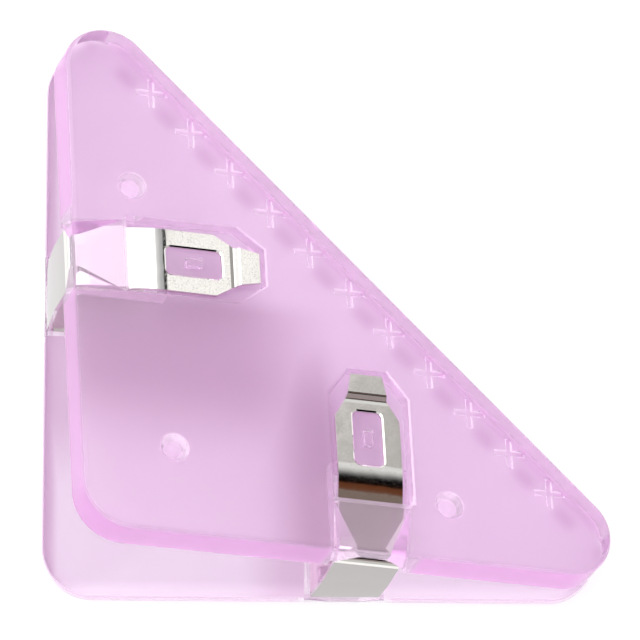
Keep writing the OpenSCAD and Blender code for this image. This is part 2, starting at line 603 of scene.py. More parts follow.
@dataclass(frozen=True)
class PinkPlastic:
    """Clear tinted polystyrene, polished outside and frosted on the face that meets the paper.

    Attributes:
        plate: The plate that it is moulded into, whose sizes place the tints.
        name: Name of the material.
        clear: Surface colour of the polished faces.
        milky: Surface colour of the clearer patches of the frosted face.
        cloudy: Surface colour of its cloudier patches.
        wall: Surface colour of the side walls: the deeper tint seen through the plastic's edge, with the
            bright saturated glow that light gives the edges painted in.
        deep: Surface colour of the painted shade in the soft patches between the teeth.
        shaded: Surface colour of the painted shadows of the springs and of the painted shade along the left
            short side.
        painted_highlight: Surface colour of the painted highlights on the teeth's walls, the pegs and the
            edges of the pockets.
        clear_share: Share of the light that goes through a polished face.
        frosted_share: Share of the light that goes through the frosted face.
        wall_share: Share of the light that goes through a side wall.
        painted_highlight_share: Share of the light that goes through a face with a painted highlight.
        painted_highlight_glow: Painted glow of the highlighted faces, as a share of white, standing in for
            the light that the teeth's walls gather from the plate.
        refraction: Index of refraction.
        polished: Roughness of the polished faces.
        frosted: Roughness of the frosted face.
        inside: Colour that stays after a long way through the plastic.
        density: How fast the plastic takes on that colour, for each metre.
        grain: Size of the frosting's grain.
        grain_height: Height of the frosting's grain.
        wave: Size of the faint waves of a moulded face.
        wave_height: Height of those waves.
        cloud: Size of the cloudy patches.
        cloud_edges: Where the pattern of the patches is still milky, and where it is cloudy.
        border: Width of the tinted border along the jaw.
        border_share: How much of the walls' tint that border takes at the very edge.
        painted_side_shade: Where the painted shade along the left short side begins to fade, and is gone.
        painted_side_shade_share: How much of the shaded colour that painted shade takes.
        painted_glow_border: Width of the border along the bottom short side on which a glow is painted.
        painted_glow: Painted glow at the very edge, as a share of white.
        patch_at: Distance of the patches of painted shade between the teeth from the jaw's edge.
        patch_reach: Half of their width.
        patch_rhythm: Where they begin and are full in the wave that runs from tooth to tooth.
        bridge_tint: How much of the walls' tint the rim of a bridge keeps.
        bridge_fade: Distance over which that tint changes beside a bridge.
        painted_spring_shadows: The painted shadows of the springs, on the corner side of the pockets.
    """

    plate: "Plate"
    name: str
    clear: Colour = (0.97, 0.88, 0.97)
    milky: Colour = (1.00, 0.91, 1.00)
    cloudy: Colour = (1.00, 0.89, 1.00)
    wall: Colour = (0.88, 0.46, 0.86)
    deep: Colour = (0.83, 0.62, 0.82)
    shaded: Colour = (0.665, 0.44, 0.635)
    painted_highlight: Colour = (1.00, 0.97, 1.00)
    clear_share: float = 0.84
    frosted_share: float = 0.90
    wall_share: float = 0.45
    painted_highlight_share: float = 0.95
    painted_highlight_glow: float = 0.30
    refraction: float = 1.42
    polished: float = 0.06
    frosted: float = 0.8
    inside: Colour = (0.92, 0.40, 0.92)
    density: float = 30.0
    grain: float = 0.25 * MM
    grain_height: float = 0.010 * MM
    wave: float = 6 * MM
    wave_height: float = 0.02 * MM
    cloud: float = 9 * MM
    cloud_edges: Flat = (0.35, 0.65)
    border: float = 2.2 * MM
    border_share: float = 0.5
    painted_side_shade: Flat = (1.0 * MM, 2.4 * MM)
    painted_side_shade_share: float = 0.9
    painted_glow_border: float = 2.6 * MM
    painted_glow: float = 0.2
    patch_at: float = 3.0 * MM
    patch_reach: float = 2.1 * MM
    patch_rhythm: Flat = (0.6, -1.0)
    bridge_tint: float = 0.12
    bridge_fade: float = 1.5 * MM
    # painted shadows: the first of the left spring, the second of the bottom one
    painted_spring_shadows: tuple[PaintedSpringShadow, ...] = (
        PaintedSpringShadow((-8 * MM, -2 * MM, 24 * MM, 40 * MM), (13 * MM, 26 * MM, 35 * MM, 39 * MM)),
        PaintedSpringShadow((26 * MM, 34 * MM, 35 * MM, 39 * MM), (-8 * MM, -2 * MM, 22 * MM, 38 * MM)),
    )

    def rim_tint(self, bench: NodeBench, across: Socket, up: Socket) -> Socket:
        """Adds nodes that tell how much of its tint a side wall keeps, which is little at the bridges.

        Args:
            bench: The bench to work on.
            across: Distance along the bottom short side.
            up: Distance along the left short side.

        Returns:
            The share that it keeps.
        """
        fade = self.bridge_fade
        low, high = self.plate.pocket_sides
        beside = (low - fade, low, high, high + fade)
        near = [
            bench.product(bench.hump(along, beside), bench.step(inwards, 2 * fade, fade))
            for along, inwards in ((across, up), (up, across))
        ]
        return bench.between(bench.math("MAXIMUM", *near), 1, self.bridge_tint)

    def patches(self, bench: NodeBench, across: Socket, up: Socket, from_jaw: Socket) -> Socket:
        """Adds nodes that are 1 in the patches of painted shade between the teeth.

        Args:
            bench: The bench to work on.
            across: Distance along the bottom short side.
            up: Distance along the left short side.
            from_jaw: Distance from the jaw's edge.

        Returns:
            The mask.
        """
        along = bench.product(bench.math("SUBTRACT", across, up), DIAGONAL / self.plate.tooth_pitch)
        rhythm = bench.math("COSINE", bench.product(along, 2 * math.pi))
        low = self.patch_at - self.patch_reach
        high = self.patch_at + self.patch_reach
        row = bench.hump(from_jaw, (low, self.patch_at, self.patch_at, high))
        return bench.product(bench.step(rhythm, *self.patch_rhythm), row)

    def frosted_colour(self, bench: NodeBench, place: Socket, across: Socket, up: Socket) -> Socket:
        """Adds nodes that give the colour of the frosted face, with the painted shadows and shades laid on
        it.

        Args:
            bench: The bench to work on.
            place: Place on the piece.
            across: Distance along the bottom short side.
            up: Distance along the left short side.

        Returns:
            The colour.
        """
        short = bench.math("SUBTRACT", self.plate.sharp_leg, bench.math("ADD", across, up))
        from_jaw = bench.product(short, DIAGONAL)
        border = bench.product(bench.step(from_jaw, self.border, 0), self.border_share)
        # painted shade along the left short side
        side = bench.product(bench.step(across, self.painted_side_shade[1], self.painted_side_shade[0]), self.painted_side_shade_share)
        # painted shadows that the springs cast on the corner side of their pockets
        spring_shadow = bench.math("MAXIMUM", *(shade.mask(bench, across, up) for shade in self.painted_spring_shadows))
        cloud = bench.noise(place, self.cloud, detail=2.0)
        colour = bench.ramp(cloud, list(zip(self.cloud_edges, (self.milky, self.cloudy))))
        colour = bench.blend(bench.math("MAXIMUM", spring_shadow, side), colour, self.shaded)
        # painted shade in soft patches between the teeth
        colour = bench.blend(self.patches(bench, across, up, from_jaw), colour, self.deep)
        return bench.blend(border, colour, self.wall)

    def material(self) -> Material:
        """Builds the material.

        Returns:
            The material.
        """
        material, bench = new_material(self.name)
        place = bench.add("TexCoord").outputs["Object"]
        across, up, _ = bench.kept(DRAWING)
        # the third mark is the painted highlight
        frost, wall, white = bench.kept(MARKS)
        wall = bench.product(wall, self.rim_tint(bench, across, up))
        colour = bench.blend(frost, self.clear, self.frosted_colour(bench, place, across, up))
        # side walls: deeper tint, partly painted edge glow
        colour = bench.blend(wall, colour, self.wall)
        # painted highlights on the teeth, the pegs and the pockets' edges
        colour = bench.blend(white, colour, self.painted_highlight)
        share = bench.between(frost, self.clear_share, self.frosted_share)
        share = bench.between(wall, share, self.wall_share)
        share = bench.between(white, share, self.painted_highlight_share)
        # painted glow on the frosted face along the bottom short side
        lit = bench.product(bench.step(up, self.painted_glow_border, 0), frost, self.painted_glow)
        waves = bench.relief(bench.noise(place, self.wave, detail=0.0), self.wave_height)
        grain = bench.noise(place, self.grain, detail=3.0, roughness=0.6)
        plastic = bench.add(
            "BsdfPrincipled", Base_Color=colour, IOR=self.refraction, Transmission_Weight=share,
            Roughness=bench.between(frost, self.polished, self.frosted),
            Normal=bench.relief(grain, self.grain_height, frost, Normal=waves),
            # painted glow on the highlighted faces and along the bottom short side
            Emission_Color=(*self.painted_highlight, 1),
            Emission_Strength=bench.math("ADD", bench.product(white, self.painted_highlight_glow), lit),
        )
        tint = bench.add("VolumeAbsorption", Color=(*self.inside, 1), Density=self.density)
        bench.add("OutputMaterial", Surface=plastic.outputs["BSDF"], Volume=tint.outputs["Volume"])
        return material


@dataclass(frozen=True)
class NickelSteel:
    """Nickel-plated spring strip: bright, with fine pits and rolling marks.

    Attributes:
        bright: Colour of the plating.
        dull: Colour of the pits and marks.
        web: Painted shade on the web's outward faces, standing in for the dark reflection of the floor
            beside the clip; the plating is the same as on the arms.
        polished: Roughness of the plating.
        worn: Roughness of the pits and marks.
        dull_edges: Where the pattern of the pits is still dull, and where it is bright.
        worn_edges: Where it is still rough, and where it is polished.
        pit: Size of the pits.
        pit_depth: Depth of the pits.
        ripple: Size of the strip's gentle ripples.
        ripple_depth: Depth of the ripples.
    """

    bright: Colour = (0.86, 0.85, 0.82)
    dull: Colour = (0.78, 0.76, 0.73)
    web: Colour = (0.385, 0.365, 0.355)
    polished: float = 0.04
    worn: float = 0.11
    dull_edges: Flat = (0.32, 0.44)
    worn_edges: Flat = (0.35, 0.6)
    pit: float = 0.22 * MM
    pit_depth: float = 0.0002 * MM
    ripple: float = 3 * MM
    ripple_depth: float = 0.01 * MM

    def material(self) -> Material:
        """Builds the material.

        Returns:
            The material.
        """
        material, bench = new_material("spring_steel")
        place = bench.add("TexCoord").outputs["Object"]
        # painted shade on the web's outward faces
        web_shade_mask = bench.kept(MARKS)[0]
        pits = bench.noise(place, self.pit, detail=4.0, roughness=0.65)
        ripples = bench.noise(place, self.ripple, detail=1.0)
        colour = bench.ramp(pits, list(zip(self.dull_edges, (self.dull, self.bright))))
        roughness = bench.add(
            "MapRange", Value=pits, From_Min=self.worn_edges[0], From_Max=self.worn_edges[1],
            To_Min=self.worn, To_Max=self.polished,
        )
        wavy = bench.relief(ripples, self.ripple_depth)
        steel = bench.add(
            "BsdfPrincipled", Base_Color=bench.blend(web_shade_mask, colour, self.web), Metallic=1.0,
            Roughness=roughness.outputs["Result"], Normal=bench.relief(pits, self.pit_depth, Normal=wavy),
        )
        bench.add("OutputMaterial", Surface=steel.outputs["BSDF"])
        return material


@dataclass(frozen=True)
class PaleFloor:
    """Plain white table top that shows the clip's shadow faintly.

    Attributes:
        colour: Its colour in the light.
        faint: Share of its whiteness that comes from the light where it is seen or mirrored.
        glow: The rest of its whiteness where it is seen or mirrored.
        faint_through: The same share where it is seen through plastic.
        glow_through: The rest of its whiteness where it is seen through plastic.
    """

    colour: Colour = (0.92, 0.92, 0.92)
    faint: float = 0.36
    glow: float = 0.73
    faint_through: float = 0.60
    glow_through: float = 0.55

    def material(self) -> Material:
        """Builds the material.

        Returns:
            The material.
        """
        material, bench = new_material("pale_floor")
        path = bench.add("LightPath").outputs
        through = path["Is Transmission Ray"]
        seen = bench.math("MAXIMUM", path["Is Camera Ray"], path["Is Glossy Ray"])
        shown = bench.math("MAXIMUM", seen, through)
        share = bench.between(through, self.faint, self.faint_through)
        grey = bench.add("CombineXYZ", X=share, Y=share, Z=share).outputs["Vector"]
        lit = bench.add("BsdfDiffuse", Color=(*self.colour, 1)).outputs["BSDF"]
        faint = bench.add("BsdfDiffuse", Color=grey).outputs["BSDF"]
        glow = bench.add("Emission", Strength=bench.between(through, self.glow, self.glow_through))
        white = bench.pair("AddShader", faint, glow.outputs["Emission"])
        bench.add("OutputMaterial", Surface=bench.pair("MixShader", lit, white, Fac=shown))
        return material


# ---------------------------------------------------------------- the clip's pieces


@dataclass(frozen=True)
class SpringSizes:
    """Sizes of the strip and of the pocket it lies in, which both kinds of piece follow."""

    strip_w: float = 9.2 * MM
    strip_t: float = 0.5 * MM
    at: float = 41 * MM
    arm_reach: float = 26.6 * MM
    fold_reach: float = 23.2 * MM
    shoulder_reach: float = 20.2 * MM
    bend_reach: float = 13.4 * MM
    bend_at: float = 11.1 * MM
    fold_w: float = 5.8 * MM
    tip_w: float = 4.4 * MM
    window_len: float = 8 * MM
    window_w: float = 4.2 * MM
    window_r: float = 0.8 * MM
    arm_depth: float = 1.2 * MM
    tip_depth: float = 0.65 * MM
    edge_depth: float = 4.2 * MM
    web_inset: float = 0.5 * MM
    seat_gap: float = 0.12 * MM

    @property
    def window_at(self) -> float:
        """Middle of the window, from the short side."""
        return self.bend_reach + self.window_len / 2

    @property
    def slope(self) -> float:
        """Depth that an arm gains for each metre on its way to the short side."""
        return (self.edge_depth - self.arm_depth) / (self.bend_at - self.web_inset)

    def slope_depth(self, inwards: float) -> float:
        """Depth of the arm's middle at a distance from the short side, on its sloping stretch."""
        return self.arm_depth + (self.bend_at - inwards) * self.slope

    def both_sides(self, half: list[Flat]) -> list[Flat]:
        """Closed outline beside the short side along X, from its right half.

        Args:
            half: Half width and distance from the short side, for each point.

        Returns:
            The outline.
        """
        right = [(self.at + width, inwards) for width, inwards in half]
        left = [(self.at - width, inwards) for width, inwards in reversed(half)]
        return right + left


@dataclass
class Plate:
    """One moulded plate, with pockets, bridges, catches, pegs and a row of crosses along its jaw."""

    places: Places
    spring: SpringSizes
    thickness: float = 5.4 * MM
    corner_r: float = 6.8 * MM
    tip_r: float = 6.2 * MM
    outer_rounding: float = 0.75 * MM
    inner_rounding: float = 0.35 * MM
    jaw_rounding: float = 1.3 * MM
    jaw_blend: int = 4  # the higher, the nearer to the jaw its wider rounding sets in
    rounding_steps: int = 6
    height_digits: int = 7  # decimals up to which two heights of the slab are one
    arc_steps: int = 32
    tooth_pitch: float = 7.69 * MM
    tooth_len: float = 4.5 * MM
    tooth_w: float = 0.88 * MM
    tooth_h: float = 0.3 * MM
    tooth_draft: float = 0.16 * MM
    tooth_inset: float = 1.95 * MM
    peg_r: float = 1.85 * MM
    peg_gap: float = 0.3 * MM
    peg_spacing: float = 61 * MM
    peg_foot: float = 0.35 * MM
    # the highlights on the pegs, the teeth and the pockets are painted; their frosting is the mould's
    peg_frosting: float = 0.5
    peg_highlight: float = 0.3
    tooth_frosting: float = 0.6
    tooth_highlight: float = 0.55
    pocket_tint: float = 0.12
    pocket_highlight: float = 0.15
    gusset_tint: float = 0.6
    slight: float = 0.1  # tilt up to which a face still counts as level, or as upright
    peg_steps: int = 48
    dome_steps: int = 12
    stop_inset: float = 14.3 * MM
    pocket_room: float = 0.8 * MM
    pocket_draft: float = 0.3 * MM
    pocket_chamfer: float = 0.2 * MM
    bridge_t: float = 1.8 * MM
    bridge_w: float = 7.6 * MM
    gusset_w: float = 3.8 * MM
    gusset_foot: float = 0.6 * MM
    catch_len: float = 2.2 * MM
    catch_w: float = 1.2 * MM
    catch_depth: float = 0.7 * MM
    lap: float = 0.2 * MM  # how far solids reach into each other before they are joined
    edge_w: float = 0.13 * MM
    edge_angle: float = math.radians(38)
    edge_steps: int = 2
    crease: float = math.radians(35)

    @property
    def sharp_leg(self) -> float:
        """Short side of the triangle that the plate would be without round corners."""
        return self.places.leg + self.tip_r / DIAGONAL

    @property
    def tip_at(self) -> float:
        """Place of a pointed corner's centre along its short side."""
        return self.sharp_leg - self.tip_r / math.tan(EIGHTH_TURN / 2)

    @property
    def pocket_half(self) -> float:
        """Half of a pocket's width."""
        return self.spring.strip_w / 2 + self.pocket_room

    @property
    def pocket_sides(self) -> Flat:
        """Where a pocket's side walls stand along the short side."""
        return self.spring.at - self.pocket_half, self.spring.at + self.pocket_half

    @property
    def pocket_depth(self) -> float:
        """Depth of a pocket's floor below the outer face."""
        return self.spring.arm_depth + self.spring.strip_t / 2 + self.spring.seat_gap

    def outline(self, inset: float, jaw_inset: float) -> list[Flat]:
        """Outline of the plate, moved inwards.

        Args:
            inset: How far the short sides are moved.
            jaw_inset: How far the long side is moved.

        Returns:
            Its points, in order.
        """
        corner = (self.corner_r, self.corner_r)
        points = arc(corner, self.corner_r - inset, math.pi, 3 * QUARTER_TURN, self.arc_steps)
        for centre, start, end in (
            ((self.tip_at, self.tip_r), -QUARTER_TURN, EIGHTH_TURN),
            ((self.tip_r, self.tip_at), EIGHTH_TURN, math.pi),
        ):
            for x, y in arc((0, 0), 1, start, end, self.arc_steps):
                towards_jaw = max(0, (x + y) * DIAGONAL) ** self.jaw_blend
                radius = self.tip_r - inset - (jaw_inset - inset) * towards_jaw
                points.append((centre[0] + radius * x, centre[1] + radius * y))
        return points

    @staticmethod
    def rounded_in(radius: float, height: float) -> float:
        """How far a rounded edge lies inwards, at a height from the face that it ends on."""
        rest = max(0, radius - height)
        return radius - math.sqrt(radius ** 2 - rest ** 2)

    def slab(self) -> Piece:
        """Builds the plain plate with its edges rounded.

        Returns:
            The plate, lying on its outer face.
        """
        rings = []
        for radius, jaw_radius, top in (
            (self.outer_rounding, self.outer_rounding, False),
            (self.inner_rounding, self.jaw_rounding, True),
        ):
            turns = [QUARTER_TURN * i / self.rounding_steps for i in range(self.rounding_steps + 1)]
            heights = {
                round(size * (1 - math.cos(a)), self.height_digits)
                for size in (radius, jaw_radius) for a in turns
            }
            for height in sorted(heights, reverse=top):
                z = self.thickness - height if top else height
                outline = self.outline(self.rounded_in(radius, height), self.rounded_in(jaw_radius, height))
                rings.append(ring_at(outline, z))
        return lofted("slab", rings)

    def pocket_outline(self, spread: float) -> list[Flat]:
        """Outline of a pocket, wider towards the outer face.

        Args:
            spread: How far the walls are moved out.

        Returns:
            Its points, in order.
        """
        spring = self.spring
        end_half = (spring.tip_w + self.pocket_room) / 2
        return spring.both_sides([
            (self.pocket_half + spread, self.bridge_w),
            (self.pocket_half + spread, spring.fold_reach + spread / 2),
            (end_half + spread / 2, spring.arm_reach + self.pocket_room / 2 + spread),
        ])

    def cutters(self) -> list[Piece]:
        """Builds what is cut away for one spring: pocket, slot and channel.

        Returns:
            The solids to cut away with.
        """
        spring = self.spring
        depth = self.pocket_depth
        chamfer = self.pocket_chamfer
        rings = []
        for z, wider in ((-self.lap, chamfer + self.lap), (chamfer, 0), (depth, 0)):
            spread = self.pocket_draft * (depth - z) / depth + wider
            rings.append(ring_at(self.pocket_outline(spread), z))
        low, high = self.pocket_sides
        slot_end = spring.bend_reach + spring.seat_gap
        slot = [(low, self.bridge_w), (high, self.bridge_w), (high, slot_end), (low, slot_end)]
        past = self.bridge_w + self.lap
        channel = [(low, -self.lap), (high, -self.lap), (high, past), (low, past)]
        top = self.thickness + self.lap
        return [
            lofted("pocket", rings),
            prism("slot", slot, -2 * self.lap, top),
            prism("channel", channel, self.bridge_t, top),
        ]

    def gusset(self, side: int) -> Piece:
        """Builds a wedge that fills a corner between bridge, channel wall and arm.

        Args:
            side: -1 for the left wall of the channel, 1 for the right.

        Returns:
            The wedge.
        """
        spring = self.spring
        half = self.pocket_half
        wall = half + self.lap
        arm_top = spring.seat_gap + spring.strip_t / 2
        rings = []
        for width, deep in ((self.gusset_w, False), (self.gusset_foot, True)):
            outline = ((wall, 0), (half - width, 0), (half, self.bridge_w), (wall, self.bridge_w))
            ring = []
            for across, inwards in outline:
                z = spring.slope_depth(inwards) - arm_top if deep else self.bridge_t - self.lap
                ring.append(Vector((spring.at + side * across, inwards, z)))
            rings.append(ring)
        return lofted("gusset", rings, triangles=True)

    def catch(self) -> Piece:
        """Builds the small block that the spring's window drops over.

        Returns:
            The block.
        """
        spring = self.spring
        half_w = self.catch_w / 2
        half_len = self.catch_len / 2
        outline = [
            (spring.at + x * half_w, spring.window_at + y * half_len)
            for x, y in ((-1, -1), (1, -1), (1, 1), (-1, 1))
        ]
        return prism("catch", outline, self.catch_depth, self.pocket_depth + self.lap)

    def peg(self, place: Flat, top: float) -> Piece:
        """Builds a round peg with a domed end and a small fillet at its foot.

        Args:
            place: Its axis.
            top: Height of its top above the outer face.

        Returns:
            The peg.
        """
        inner = self.thickness
        foot = self.peg_foot
        turns = [QUARTER_TURN * i / self.dome_steps for i in range(self.dome_steps)]
        profile = [(self.peg_r + foot, inner - self.lap)]
        profile += [
            (self.peg_r + foot * (1 - math.sin(a)), inner + foot * (1 - math.cos(a))) for a in turns
        ]
        dome = top - self.peg_r
        profile += [(self.peg_r * math.cos(a), dome + self.peg_r * math.sin(a)) for a in turns]
        circle = arc((0, 0), 1, 0, 2 * math.pi * (1 - 1 / self.peg_steps), self.peg_steps - 1)
        return lofted("peg", [
            [Vector((place[0] + radius * x, place[1] + radius * y, z)) for x, y in circle]
            for radius, z in profile
        ])

    def pegs(self) -> list[Piece]:
        """Builds the two fulcrum pegs and the stop peg.

        Returns:
            The pegs.
        """
        standoff = self.peg_r + self.peg_gap / 2
        dome = self.places.pivot - self.places.corner - standoff * self.places.normal
        shift = self.peg_spacing / 2 * DIAGONAL
        top = dome.z + self.peg_r
        return [
            self.peg((dome.x + shift, dome.y - shift), top),
            self.peg((dome.x - shift, dome.y + shift), top),
            self.peg((self.stop_inset, self.stop_inset), self.places.stop_top),
        ]

    def tooth(self, place: Flat) -> Piece:
        """Builds one cross, with bars parallel to the short sides and sloping walls.

        Args:
            place: Its middle.

        Returns:
            The cross.
        """
        rings = []
        for rise, inset in ((-self.lap, 0), (0, 0), (self.tooth_h, self.tooth_draft)):
            reach = self.tooth_len / 2 - inset
            half = self.tooth_w / 2 - inset
            quarter = [(reach, -half), (reach, half), (half, half)]
            ring = []
            for _ in range(4):
                ring += [(place[0] + x, place[1] + y) for x, y in quarter]
                quarter = [(-y, x) for x, y in quarter]
            rings.append(ring_at(ring, self.thickness + rise))
        return lofted("tooth", rings)

    def teeth(self) -> list[Piece]:
        """Builds the row of crosses along the jaw.

        Returns:
            The crosses.
        """
        jaw_at = self.sharp_leg * DIAGONAL
        row = (jaw_at - self.tooth_inset) * DIAGONAL
        tip_trim = self.sharp_leg - self.tip_at
        each_side = math.floor((jaw_at - tip_trim - self.tooth_len) / self.tooth_pitch)
        shifts = [i * self.tooth_pitch * DIAGONAL for i in range(-each_side, each_side + 1)]
        return [self.tooth((row + shift, row - shift)) for shift in shifts]

    def by_pocket(self, place: Vector) -> bool:
        """Whether a point belongs to the walls of a pocket, a slot or a bridge.

        Args:
            place: The point in the drawing.

        Returns:
            True if it does.
        """
        half = self.pocket_half + 2 * self.pocket_draft
        reach = self.spring.arm_reach + 2 * self.pocket_room
        return any(
            abs(along - self.spring.at) < half and self.outer_rounding < inwards < reach
            for along, inwards in ((place.x, place.y), (place.y, place.x))
        )

    def wall_mark(self, place: Vector, normal: Vector) -> Vector:
        """Tells how a polished face is marked, as a side wall or a face of a pocket or bridge, with the
        tint and painted highlight it takes.

        Args:
            place: Middle of the face in the drawing.
            normal: The way it faces.

        Returns:
            Its mark, as mark() describes it.
        """
        upright = 1 - abs(normal.z)
        if not self.by_pocket(place):
            return Vector((0, upright, 0))
        sloping = self.slight < upright < 1 - self.slight
        # chamfers round a pocket: painted highlight where they face -X
        if sloping and place.z < self.pocket_chamfer:
            return Vector((0, 0, max(0, -normal.x)))
        # gussets: part of the walls' tint where they face +X or +Y, painted highlight where they face -X
        if sloping and self.bridge_t < place.z and min(place.x, place.y) < self.bridge_w:
            return Vector((0, self.gusset_tint * max(0, normal.x, normal.y), max(0, -normal.x)))
        # pocket walls: a little of the walls' tint and a little painted highlight
        return Vector((0, self.pocket_tint * upright, self.pocket_highlight * upright))

    def mark(self, plate: Piece) -> None:
        """Marks how the mould finishes each face and where highlights are painted on it, and keeps each
        point's place in the drawing.

        A mark holds how frosted the face is, how much of the walls' colour it takes, and how much
        painted highlight it takes.

        Args:
            plate: The moulding, lying on its outer face.
        """
        level = self.edge_w / 10
        flat = math.cos(self.crease)
        marks = plate.data.attributes.new(MARKS, "FLOAT_VECTOR", "FACE")
        for mark, face in zip(marks.data, plate.data.polygons):
            place = face.center
            from_jaw = (self.sharp_leg - place.x - place.y) * DIAGONAL
            raised = place.z > self.thickness + level
            on_jaw = from_jaw < self.jaw_rounding and place.z > self.outer_rounding
            on_inner_face = place.z > self.thickness - self.inner_rounding and face.normal.z > flat
            # pegs: half frosted, with a painted highlight
            if raised and from_jaw > 2 * self.tooth_len:
                mark.vector = (self.peg_frosting, 0, self.peg_highlight)
            # teeth's walls: partly frosted, with a painted highlight that is strongest on walls facing
            # along X
            elif raised and face.normal.z < flat:
                mark.vector = (self.tooth_frosting, 0, max(self.tooth_highlight, abs(face.normal.x)))
            elif raised or on_jaw or on_inner_face:
                mark.vector = (1, 0, 0)
            else:
                mark.vector = self.wall_mark(place, face.normal)
        drawing = plate.data.attributes.new(DRAWING, "FLOAT_VECTOR", "POINT")
        for point, vertex in zip(drawing.data, plate.data.vertices):
            point.vector = vertex.co

    def model(self) -> Piece:
        """Builds the whole moulding, lying on its outer face with its corner at the start of X and Y.

        Returns:
            The moulding.
        """
        plate = self.slab()
        for matrix in (Matrix.Identity(4), self.places.swapped):
            for cutter in self.cutters():
                move_mesh(cutter, matrix)
                join(plate, cutter, Joining.CUT)
            for block in (self.gusset(-1), self.gusset(1), self.catch()):
                move_mesh(block, matrix)
                join(plate, block, Joining.ADD)
        for raised in self.pegs() + self.teeth():
            join(plate, raised, Joining.ADD)
        finish_edges(plate, self.edge_w, self.edge_angle, self.edge_steps)
        self.mark(plate)
        return plate

    def build(self, finishes: dict[Body, Material]) -> None:
        """Builds both plates and puts them on their bodies.

        Args:
            finishes: The plastic of each plate.
        """
        back = self.model()
        move_mesh(back, self.places.placed)
        front = new_object("front_moulding", back.data.copy())
        move_mesh(front, self.places.mirror)
        back.name = "back_moulding"
        for piece, body in ((back, Body.BACK), (front, Body.FRONT)):
            shade(piece, self.crease)
            dress(piece, finishes[body])
            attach(piece, body.value)
            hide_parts(body.value + "_plate")
            LOG.info("%s: %d faces on body %s", piece.name, len(piece.data.polygons), body.value)


